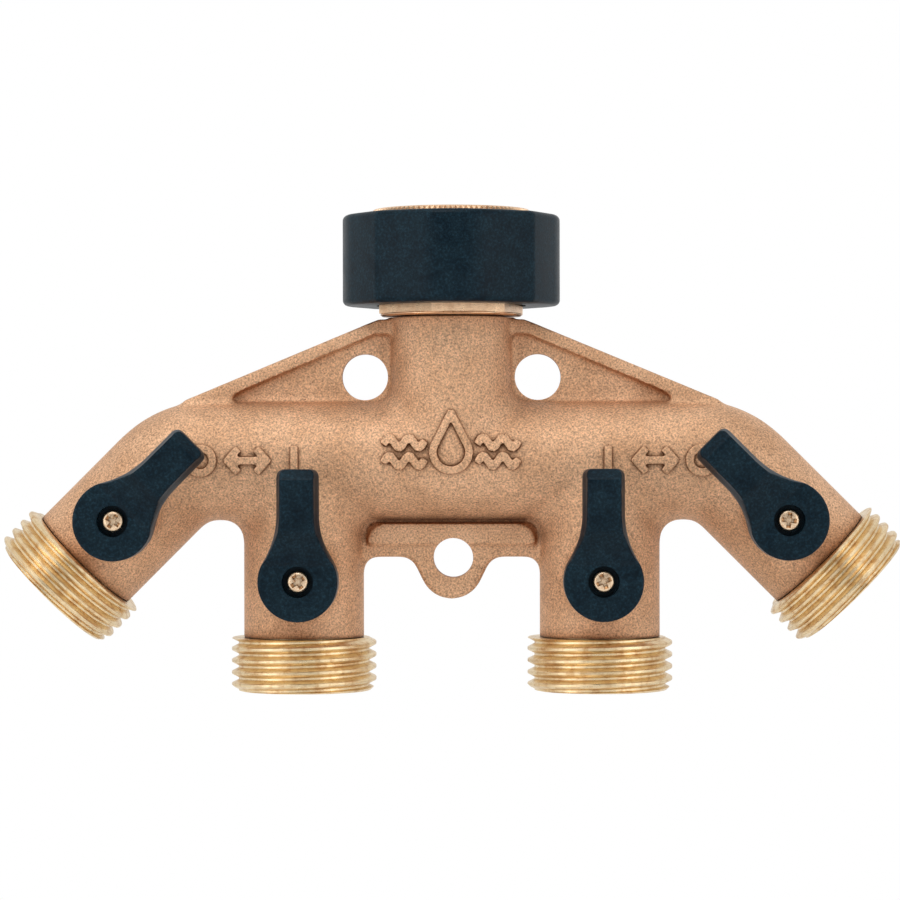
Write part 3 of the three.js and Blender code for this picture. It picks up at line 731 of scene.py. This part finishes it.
def mark_strokes(half):
    """Raised marks: a ring for shut, a two-way arrow, a bar for open, and a drop between waves."""
    bm = bmesh.new()

    def stroke_along(points):
        for start, end in zip(points, points[1:]):
            line = Vector((end[0] - start[0], 0, end[1] - start[1]))
            turn = Matrix.Rotation(math.atan2(line.x, line.z), 4, "Y")
            middle = Vector(((start[0] + end[0]) / 2, -TUBE_FRONT, (start[1] + end[1]) / 2))
            reach = line.length / 2 + 0.6 * half
            slab(bm, [(-half, -reach), (half, -reach), (half, reach), (-half, reach)],
                 MARK_ROOM, Matrix.Translation(middle) @ turn)

    tall = MARK_REACH - half
    shaft = TUBE_Z
    for side in (-1, 1):
        stroke_along(arc((side * RING_X, TUBE_Z), tall, 0, 360, 24))
        middle = side * ARROW_X
        stroke_along([(middle - ARROW_SHAFT, shaft), (middle + ARROW_SHAFT, shaft)])
        for way in (-1, 1):
            tip = middle + way * ARROW_TIP
            barb = tip - way * ARROW_BARB[0]
            stroke_along([(barb, shaft + ARROW_BARB[1]), (tip, shaft),
                          (barb, shaft - ARROW_BARB[1])])
        stroke_along([(side * BAR_X, TUBE_Z - tall), (side * BAR_X, TUBE_Z + tall)])
    drop_z, drop_r, drop_tip = DROP
    belly = arc((0, drop_z), drop_r, 148, 392, 22)
    stroke_along([(0, drop_z + drop_tip), *belly, (0, drop_z + drop_tip)])
    step = 0.4
    for side in (-1, 1):
        for rise in WAVE_ROWS:
            stroke_along([(side * WAVE_X - WAVE_HALF + k * step, WAVE_Z + rise
                           + WAVE_SWING * math.sin(k * step / WAVE_HALF * 2 * math.pi))
                          for k in range(19)])
    return tidy(bm)


# ---------------------------------------------------------------- turned pieces
def hexagon(bm, across_flats, low, high, place=HERE):
    return rod(bm, across_flats / math.sqrt(3), low, high, place, steps=6)


def tailpiece(back, length):
    """An outlet's threaded tailpiece, with its skirt, its bore and a six-sided mouth."""
    end = -back - length
    seam = -back - 0.15
    outside = MALE_CREST + 0.05
    tail = temporary(thread_solid(MALE_CREST, MALE_ROOT, end, seam))
    combined(tail, turned([
        (0, end), (MALE_CREST - TAIL_CHAMFER, end), (outside, end + TAIL_CHAMFER),
        (outside, seam - 0.2), (MALE_CREST - 0.2, seam), (0, seam)]), "INTERSECT")
    combined(tail, rod(bmesh.new(), SKIRT_R - 0.1, seam - 1, -SKIRT_TOP - GAP), "UNION")
    combined(tail, rod(bmesh.new(), BORE_R - TAIL_WALL, end - 1, 0))
    combined(tail, hexagon(bmesh.new(), MOUTH_FLATS, end - 1, 1 - back))
    combined(tail, rod(bmesh.new(), CHAMBER_R - 0.2, -SHOULDER, 0))
    lead = MOUTH_FLATS / math.sqrt(3)
    combined(tail, turned([(0, end - 1), (lead + 1.2, end - 1), (lead - 0.9, end + TAIL_CHAMFER),
                           (0, end + TAIL_CHAMFER)]))
    return tail


def knurled(bm, radius, depth, teeth, low, high):
    """Adds an upright bar whose side is cut into straight V teeth."""
    ring = bmesh.ops.create_circle(bm, cap_ends=True, segments=2 * teeth, radius=radius,
                                   matrix=Matrix.Translation((0, 0, low)))
    for valley in ring["verts"][::2]:
        valley.co.xy *= (radius - depth) / radius
    return extruded(bm, bm.faces[:], (0, 0, high - low))


def swivel_nut(shape):
    """The swivel nut: a knurled sleeve over a six-sided collar, threaded inside."""
    edge = 0.5
    low = COLLAR_HIGH + GRIP_LIP[0] + 0.05
    outside = SLEEVE_R + 0.1
    sleeve = temporary(tidy(knurled(
        bmesh.new(), SLEEVE_R, mm(shape.knurl_depth), shape.knurl_teeth, low, SLEEVE_TOP)))
    combined(sleeve, turned([(0, low), (outside, low), (outside, SLEEVE_TOP - edge),
                             (SLEEVE_R - edge, SLEEVE_TOP), (0, SLEEVE_TOP)]), "INTERSECT")
    rim = COLLAR_LOW + COLLAR_RIM[0]
    rim_r = COLLAR_FLATS / 2 + COLLAR_RIM[1]
    collar = temporary(tidy(hexagon(bmesh.new(), COLLAR_FLATS, rim, low + edge,
                                    Matrix.Rotation(COLLAR_TURN, 4, "Z"))))
    combined(collar, turned([
        (0, COLLAR_LOW), (rim_r - 0.35, COLLAR_LOW), (rim_r, COLLAR_LOW + 0.25),
        (rim_r, rim - 0.1), (rim_r - 0.15, rim + 0.05), (0, rim + 0.05)]), "UNION")
    combined(sleeve, loosened(collar), "UNION")
    combined(sleeve, rod(bmesh.new(), LIP_BORE_R, COLLAR_LOW - 1, LIP_TOP + 1))
    combined(sleeve, rod(bmesh.new(), RING_BORE_R, LIP_TOP, SPIGOT_TOP))
    combined(sleeve, rod(bmesh.new(), WASHER_BORE_R, SPIGOT_TOP - GAP, 0.5))
    combined(sleeve, thread_solid(FEMALE_ROOT, FEMALE_CREST, 0, SLEEVE_TOP + 2))
    combined(sleeve, turned([(0, SLEEVE_TOP - 1), (FEMALE_CREST, SLEEVE_TOP - 1),
                             (FEMALE_ROOT + 0.6, SLEEVE_TOP + 1), (0, SLEEVE_TOP + 1)]))
    return sleeve


def rounded(bm, edges, radius, steps):
    bmesh.ops.bevel(bm, geom=edges, offset=radius, offset_type="OFFSET", segments=steps,
                    profile=0.5, affect="EDGES", material=-1)


def nut_grip(shape):
    """The grip: eight faces, four rounded corners and four sharp ones, with softened edges."""
    bm = bmesh.new()
    bmesh.ops.create_circle(bm, cap_ends=True, segments=8, radius=GRIP_SHARP_R)
    corners = {vert: GRIP_BLUNT_R if min(abs(vert.co.x), abs(vert.co.y)) < 1 else GRIP_SHARP_R
               for vert in bm.verts}
    for vert, radius in corners.items():
        vert.co *= radius / vert.co.length
    extruded(bm, bm.faces[:], (0, 0, GRIP_TOP - COLLAR_HIGH))
    bmesh.ops.translate(bm, verts=bm.verts, vec=(0, 0, COLLAR_HIGH))
    tidy(bm)
    upright = [edge for edge in bm.edges if abs(edge.verts[0].co.z - edge.verts[1].co.z) > 1]
    soft = [edge for edge in upright if min(abs(edge.verts[0].co.x), abs(edge.verts[0].co.y)) < 1]
    crisp = [edge for edge in upright if edge not in soft]
    face = 2 * GRIP_SHARP_R * math.sin(math.radians(22.5))
    rounded(bm, soft, GRIP_ROUNDING * face, 10)
    rounded(bm, crisp, GRIP_CRISP, 4)
    for level in (COLLAR_HIGH, GRIP_TOP):
        rim = [edge for edge in bm.edges
               if all(abs(vert.co.z - level) < 0.01 for vert in edge.verts)]
        rounded(bm, rim, mm(shape.grip_edge), 5)
    bmesh.ops.rotate(bm, cent=(0, 0, 0), matrix=Matrix.Rotation(GRIP_TURN, 3, "Z"), verts=bm.verts)
    grip = temporary(tidy(bm))
    combined(grip, rod(bmesh.new(), SLEEVE_R + 0.05, COLLAR_HIGH + GRIP_LIP[0], GRIP_TOP + 1))
    combined(grip, rod(bmesh.new(), GRIP_LIP[1], COLLAR_HIGH - 1, GRIP_TOP))
    return grip


# ---------------------------------------------------------------- levers and screws
def lever_outline():
    """A lever in the front view: a round hub that flares into a straight handle."""
    flare = (HUB_R * math.cos(FLARE_ANGLE) - HANDLE_HALF) / (1 - math.cos(FLARE_ANGLE))
    flare_x = HANDLE_HALF + flare
    flare_z = (HUB_R + flare) * math.sin(FLARE_ANGLE)
    angle = math.degrees(FLARE_ANGLE)
    low, high = HANDLE_HALF - TIP_CORNER, LEVER_LENGTH - TIP_CORNER
    return [*arc((0, 0), HUB_R, 180 - angle, 360 + angle, 64),
            *arc((flare_x, flare_z), flare, 180 + angle, 180, 16)[1:],
            *arc((low, high), TIP_CORNER, 0, 90, 8),
            *arc((-low, high), TIP_CORNER, 90, 180, 8),
            *arc((-flare_x, flare_z), flare, 0, -angle, 16)[:-1]]


def ease(value, low, high):
    """Rises smoothly from 0 to 1 between two values."""
    share = min(1, max(0, (value - low) / (high - low)))
    return share * share * (3 - 2 * share)


def lever(shape):
    """A moulded lever, with the hub's recess, the stem's square socket and the screw's hole."""
    bm = bmesh.new()
    middle = -(HUB_UNDER + HANDLE_FACE) / 2
    slab(bm, lever_outline(), 8, Matrix.Translation((0, middle, 0)))
    piece = temporary(tidy(bm))
    low, high = -HUB_R - 1, LEVER_LENGTH + 1
    side = [(low, HUB_UNDER), (STEP_Z + NECK_RAMP[0], HUB_UNDER),
            (STEP_Z + NECK_RAMP[1], HANDLE_UNDER), (high, HANDLE_UNDER + 0.4),
            (high, HANDLE_FACE - TIP_SLOPE[1]), (LEVER_LENGTH - TIP_SLOPE[0], HANDLE_FACE),
            *((STEP_Z + along, HUB_FACE + rise) for along, rise in HANDLE_RAMP), (low, HUB_FACE)]
    profile = bmesh.new()
    face = face_from(profile, [(-10, -forward, z) for z, forward in side])
    combined(piece, extruded(profile, [face], (20, 0, 0)), "INTERSECT")
    remeshed(piece, mm(shape.lever_voxel))
    for vert in piece.data.vertices:
        vert.co.x *= 1 - HANDLE_TAPER * (ease(-vert.co.y, HUB_FACE - 1.5, HANDLE_FACE)
                                         * ease(vert.co.z, STEP_Z - 0.6, STEP_Z + 1.4))
    smoothed(piece, shape.lever_rounds)
    combined(piece, front_rod(bmesh.new(), RECESS_R, RECESS_FLOOR, HUB_FACE + 3, steps=64))
    combined(piece, front_rod(bmesh.new(), SCREW_HOLE_R, HUB_UNDER, HUB_FACE, steps=32))
    combined(piece, block(bmesh.new(), (SOCKET, SOCKET_TOP - HUB_UNDER + 1, SOCKET),
                          Matrix.Translation((0, -(HUB_UNDER + SOCKET_TOP - 1) / 2, 0))))
    return piece


def lever_screw(turn):
    """A pan-head screw with a cross recess that narrows as it goes in."""
    low, high = SCREW_HEAD_LOW, SCREW_HEAD_HIGH
    head = [(0, SCREW_END), (SCREW_R - 0.3, SCREW_END), (SCREW_R, SCREW_END + 0.5),
            (SCREW_R, low), (SCREW_HEAD_R - 0.1, low), (SCREW_HEAD_R, low + 0.15),
            *((SCREW_HEAD_R - inward, high - down) for inward, down in SCREW_HEAD_EDGE), (0, high)]
    screw = temporary(turned(head, 64))
    width, span, depth = SCREW_CROSS
    for quarter in (0, 90):
        cross = bmesh.new()
        mouth = block(cross, (width, span, 1), Matrix.Translation((0, 0, high)))
        for vert in mouth.verts:
            if vert.co.z < high:
                vert.co.x *= SCREW_CROSS_FLOOR[0]
                vert.co.y *= SCREW_CROSS_FLOOR[1]
                vert.co.z = high - depth
        bmesh.ops.rotate(cross, cent=(0, 0, 0), verts=cross.verts,
                         matrix=Matrix.Rotation(math.radians(turn + quarter), 3, "Z"))
        combined(screw, cross)
    screw.data.transform(Matrix.Rotation(QUARTER, 4, "X"))
    return screw


# ---------------------------------------------------------------- settings
def mm(length):
    return length / MM


def number(name, description, default, **settings):
    return bpy.props.FloatProperty(name=name, description=description, default=default, **settings)


def length(name, description, default, **settings):
    return number(name, description, default, unit="LENGTH", subtype="DISTANCE", precision=5,
                  **settings)


def count(name, description, default):
    return bpy.props.IntProperty(name=name, description=description, default=default, min=0)


def hex_colour(name, description, default):
    return bpy.props.StringProperty(name=name, description=description, default=default, maxlen=7)


class SplitterShape(bpy.types.PropertyGroup):
    """How finely and softly the pieces are modelled."""
    cast_voxel: length("Casting voxel", "Side of the squares in the casting's skin", 0.0005, min=0)
    cast_fillet: length("Casting fillet", "Radius of the fillets between the tubes", 0.0024, min=0)
    cast_rounds: count("Casting smoothing", "Rounds of smoothing on the casting's skin", 7)
    mark_height: length("Mark height", "How far the marks stand off the casting", 0.0007, min=0)
    mark_half: length("Mark stroke", "Half the width of a mark's stroke", 0.0007, min=0)
    knurl_depth: length("Knurl depth", "Depth of the teeth round the swivel nut", 0.00042, min=0)
    knurl_teeth: count("Knurl teeth", "Number of teeth round the swivel nut", 92)
    grip_edge: length("Grip edge", "Radius on the grip's upper and lower edges", 0.001, min=0)
    lever_voxel: length("Lever voxel", "Side of the squares in a lever's skin", 0.00022, min=0)
    lever_rounds: count("Lever smoothing", "Rounds of smoothing on a lever's skin", 8)


class SplitterFinish(bpy.types.PropertyGroup):
    """Colours and textures."""
    cast_light: hex_colour("Casting, light", "Lighter tone of the blasted casting", "#e0b692")
    cast_dark: hex_colour("Casting, dark", "Darker tone of the blasted casting", "#cb9f7a")
    grain: length("Casting grain", "Size of a grain in the casting's skin", 0.00035, min=0)
    cloud: length("Casting clouds", "Size of the casting's patches of tone", 0.009, min=0)
    pit_spacing: length("Pit spacing", "Distance between the casting's pits", 0.0011, min=0)
    cast_bump: number("Casting relief", "Strength of the casting's grain", 0.55, min=0, max=1,
                      subtype="FACTOR")
    brass_light: hex_colour("Brass, light", "Clean turned brass", "#f0d8ae")
    brass_dark: hex_colour("Brass, dark", "Stained turned brass", "#cda471")
    bronze_light: hex_colour("Nut, light", "Clean metal of the swivel nut", "#f2cca6")
    bronze_dark: hex_colour("Nut, dark", "Stained metal of the swivel nut", "#deb28c")
    plastic_light: hex_colour("Plastic, light", "Rubbed parts of the plastic", "#14262f")
    plastic_dark: hex_colour("Plastic, dark", "Dark teal of the plastic", "#081720")


class SplitterStage(bpy.types.PropertyGroup):
    """Camera and light."""
    distance: length("Camera distance", "From the swivel axis to the camera", 0.6, min=0)
    height: length("Camera height", "Height of the camera over the origin", -0.0328)
    aside: length("Camera aside", "How far the camera is to the right of the axis", 0.006)
    middle: length("Camera aim", "How far to the right of the axis the camera looks", -0.0003)
    width: length("Picture width", "Width seen at the swivel axis", 0.1681, min=0)
    roll: number("Camera roll", "Turn of the camera about its line of sight", math.radians(0.1),
                 unit="ROTATION", subtype="ANGLE")
    ambient: number("Ambient light", "Strength of the even light from all sides", 0.86, min=0)
    key: number("Side lamps", "Power of each of the two side lamps", 1.5, min=0, unit="POWER")
    top: number("Top lamp", "Power of the lamp overhead", 2.7, min=0, unit="POWER")
    low: number("Low lamp", "Power of the lamp below", 4.6, min=0, unit="POWER")


# ---------------------------------------------------------------- operators
class SPLITTER_OT_stage(bpy.types.Operator):
    """Sets a pale floor, even studio light and the camera"""
    bl_idname = "splitter.stage"
    bl_label = "Stage"

    def execute(self, context):
        scene = context.scene
        stage = scene.splitter_stage
        scene.view_settings.view_transform = "Standard"
        floor = bmesh.new()
        bmesh.ops.create_grid(floor, x_segments=1, y_segments=1, size=4000,
                              matrix=Matrix.Translation((0, 0, -150)))
        floor = temporary(floor, "floor")
        floor.data.transform(Matrix.Scale(MM, 4))
        floor.data.materials.append(white_paper())
        self.light_world(scene, stage.ambient)
        for name, x, y, z, power, side in (
                ("left_lamp", -0.7, -0.6, 0.0, stage.key, 0.6),
                ("right_lamp", 0.7, -0.6, 0.0, stage.key, 0.6),
                ("top_lamp", -0.15, -0.5, 0.65, stage.top, 0.5),
                ("low_lamp", 0, -0.6, -0.55, stage.low, 0.6)):
            lamp = bpy.data.lights.new(name, "AREA")
            lamp.energy = power
            lamp.size = side
            obj = bpy.data.objects.new(name, lamp)
            scene.collection.objects.link(obj)
            place = Vector((x, y, z))
            aim = Vector((0, 0, stage.height)) - place
            turn = aim.to_track_quat("-Z", "Y").to_matrix().to_4x4()
            obj.matrix_world = Matrix.Translation(place) @ turn
        camera = bpy.data.cameras.new("camera")
        camera.sensor_width = 36
        camera.lens = camera.sensor_width * stage.distance / stage.width
        camera.clip_start = 0.01
        obj = bpy.data.objects.new("camera", camera)
        scene.collection.objects.link(obj)
        look_back = math.atan2(stage.aside - stage.middle, stage.distance)
        obj.matrix_world = (
            Matrix.Translation((stage.aside, -stage.distance, stage.height))
            @ Matrix.Rotation(look_back, 4, "Z") @ Matrix.Rotation(stage.roll, 4, "Y")
            @ Matrix.Rotation(QUARTER, 4, "X"))
        scene.camera = obj
        return {"FINISHED"}

    @staticmethod
    def light_world(scene, ambient):
        """A white backdrop for the camera, and a tent with a darker front for all else."""
        scene.world = bpy.data.worlds.new("studio")
        scene.world.use_nodes = True
        tree = scene.world.node_tree
        tree.nodes.clear()
        way = add(tree, "ShaderNodeTexCoord")
        front = add(tree, "ShaderNodeVectorMath", {0: way.outputs["Generated"], 1: (0, -1, 0)},
                    operation="DOT_PRODUCT")
        tent = add(tree, "ShaderNodeMapRange", {
            "Value": front.outputs["Value"], "From Min": 0.45, "From Max": 0.95,
            "To Min": ambient, "To Max": 0.35 * ambient}, interpolation_type="SMOOTHSTEP")
        path = add(tree, "ShaderNodeLightPath")
        power = add(tree, "ShaderNodeMapRange", {
            "Value": path.outputs["Is Camera Ray"], "To Min": tent, "To Max": 1.0})
        shine = add(tree, "ShaderNodeBackground", {
            "Color": (1, 1, 1, 1), "Strength": power})
        add(tree, "ShaderNodeOutputWorld", {"Surface": shine})


class SPLITTER_OT_casting(bpy.types.Operator):
    """Builds the cast manifold: neck, cross tube, legs, webs and hanging eye"""
    bl_idname = "splitter.casting"
    bl_label = "Casting"

    def execute(self, context):
        shape = context.scene.splitter_shape
        voxel = mm(shape.cast_voxel)
        body = temporary(tube_shells())
        remeshed(body, voxel)
        swollen(body, mm(shape.cast_fillet))
        remeshed(body, voxel)
        swollen(body, -mm(shape.cast_fillet))
        webs = temporary(web_shells(), "webs")
        both = bmesh.new()
        for shells in (body, webs):
            both.from_mesh(shells.data)
        both.to_mesh(body.data)
        both.free()
        discard(webs)
        remeshed(body, voxel)
        smoothed(body, shape.cast_rounds)
        for tool in casting_cuts():
            combined(body, tool)
        combined(body, rod(bmesh.new(), SPIGOT_R, NECK_TOP - 2, SPIGOT_TOP), "UNION")
        combined(body, turned([(RING_GROOVE_R, RING_LOW), (12, RING_LOW), (12, RING_HIGH + GAP),
                               (RING_GROOVE_R, RING_HIGH + GAP)]))
        for tool in casting_bores():
            combined(body, tool)
        finished(body, "casting", "root", finish("cast"), ["manifold_body"])
        return {"FINISHED"}


class SPLITTER_OT_marks(bpy.types.Operator):
    """Builds the raised marks on the front of the cross tube"""
    bl_idname = "splitter.marks"
    bl_label = "Raised marks"

    def execute(self, context):
        shape = context.scene.splitter_shape
        height = mm(shape.mark_height)
        marks = temporary(mark_strokes(mm(shape.mark_half)))
        remeshed(marks, 0.18)
        skin = temporary(tidy(rod(bmesh.new(), TUBE_R + height, -ELBOW_X, ELBOW_X, ALONG_TUBE)))
        combined(skin, rod(bmesh.new(), NECK_R + height, TUBE_Z, NECK_TOP), "UNION")
        combined(skin, rod(bmesh.new(), TUBE_R - MARK_UNDER, -60, 60, ALONG_TUBE))
        combined(skin, rod(bmesh.new(), NECK_R - MARK_UNDER, TUBE_Z - 12, NECK_TOP + 1))
        combined(marks, loosened(skin), "INTERSECT")
        remeshed(marks, 0.16)
        smoothed(marks, 3)
        finished(marks, "raised_marks", "root", finish("cast"), sharp=60)
        return {"FINISHED"}


class SPLITTER_OT_tailpieces(bpy.types.Operator):
    """Builds the four threaded tailpieces"""
    bl_idname = "splitter.tailpieces"
    bl_label = "Tailpieces"

    def execute(self, context):
        models = {kind: tailpiece(back, TAIL_LENGTH[kind]) for kind, back in LEG_BACK.items()}
        for outlet, place in VALVES.items():
            piece = working(models[outlet[:5]].data.copy())
            finished(piece, f"{outlet}_tailpiece", "root",
                     finish("brass", place, f"_{outlet}"), [f"{outlet}_outlet_tail"], place, 30)
        for model in models.values():
            discard(model)
        return {"FINISHED"}


class SPLITTER_OT_nut(bpy.types.Operator):
    """Builds the swivel nut and its grip"""
    bl_idname = "splitter.nut"
    bl_label = "Swivel nut and grip"

    def execute(self, context):
        shape = context.scene.splitter_shape
        finished(swivel_nut(shape), "knurled_nut", "swivel",
                 finish("bronze"), ["swivel_nut"], sharp=25)
        finished(nut_grip(shape), "grip", "swivel", finish("plastic"),
                 ["nut_grip"], sharp=40)
        return {"FINISHED"}


class SPLITTER_OT_levers(bpy.types.Operator):
    """Builds the four levers and the screws that hold them"""
    bl_idname = "splitter.levers"
    bl_label = "Levers and screws"

    def execute(self, context):
        model = lever(context.scene.splitter_shape)
        for outlet, place in VALVES.items():
            body = f"{outlet}_valve"
            finished(working(model.data.copy()), f"{outlet}_handle", body,
                     finish("plastic"), [f"{outlet}_lever"], place, 40)
            finished(lever_screw(SCREW_TURNS[outlet]), f"{outlet}_handle_screw", body,
                     finish("screw"), [f"{outlet}_lever_screw"], place, 35)
        discard(model)
        return {"FINISHED"}


class SPLITTER_OT_inside(bpy.types.Operator):
    """Finishes the pieces inside: washer, retaining ring, seats, balls, stems and O-rings"""
    bl_idname = "splitter.inside"
    bl_label = "Inside pieces"

    def execute(self, context):
        kinds = {"_seat": "ptfe", "_ball": "ball", "_stem": "brass", "_o_ring": "rubber",
                 "hose_washer": "rubber", "swivel_retaining_ring": "brass"}
        for name, node in frame["nodes"].items():
            if node.hide_render:
                continue
            key = next((kind for ending, kind in kinds.items() if name.endswith(ending)), None)
            if key is None:
                raise RuntimeError(f"{name} has no material")
            for slot in node.material_slots:
                slot.material = finish(key)
        return {"FINISHED"}


class SPLITTER_PT_panel(bpy.types.Panel):
    """Lists the pieces and the settings"""
    bl_idname = "SPLITTER_PT_panel"
    bl_label = "Hose splitter"
    bl_space_type = "VIEW_3D"
    bl_region_type = "UI"
    bl_category = "Hose splitter"

    def draw(self, context):
        for operator in OPERATORS:
            self.layout.operator(operator.bl_idname)
        for group in ("splitter_shape", "splitter_finish", "splitter_stage"):
            settings = getattr(context.scene, group)
            column = self.layout.column(align=True)
            for key in settings.__annotations__:
                column.prop(settings, key)


OPERATORS = (SPLITTER_OT_stage, SPLITTER_OT_casting, SPLITTER_OT_marks, SPLITTER_OT_tailpieces,
             SPLITTER_OT_nut, SPLITTER_OT_levers, SPLITTER_OT_inside)
GROUPS = {"splitter_shape": SplitterShape, "splitter_finish": SplitterFinish,
          "splitter_stage": SplitterStage}


def register():
    for kind in (*GROUPS.values(), *OPERATORS, SPLITTER_PT_panel):
        bpy.utils.register_class(kind)
    for name, group in GROUPS.items():
        setattr(bpy.types.Scene, name, bpy.props.PointerProperty(type=group))


def unregister():
    for name in GROUPS:
        delattr(bpy.types.Scene, name)
    for kind in (SPLITTER_PT_panel, *reversed(OPERATORS), *reversed(GROUPS.values())):
        bpy.utils.unregister_class(kind)


def main():
    register()
    bpy.ops.splitter.stage()
    bpy.ops.splitter.casting()
    bpy.ops.splitter.marks()
    bpy.ops.splitter.tailpieces()
    bpy.ops.splitter.nut()
    bpy.ops.splitter.levers()
    bpy.ops.splitter.inside()


if __name__ == "__main__":
    main()
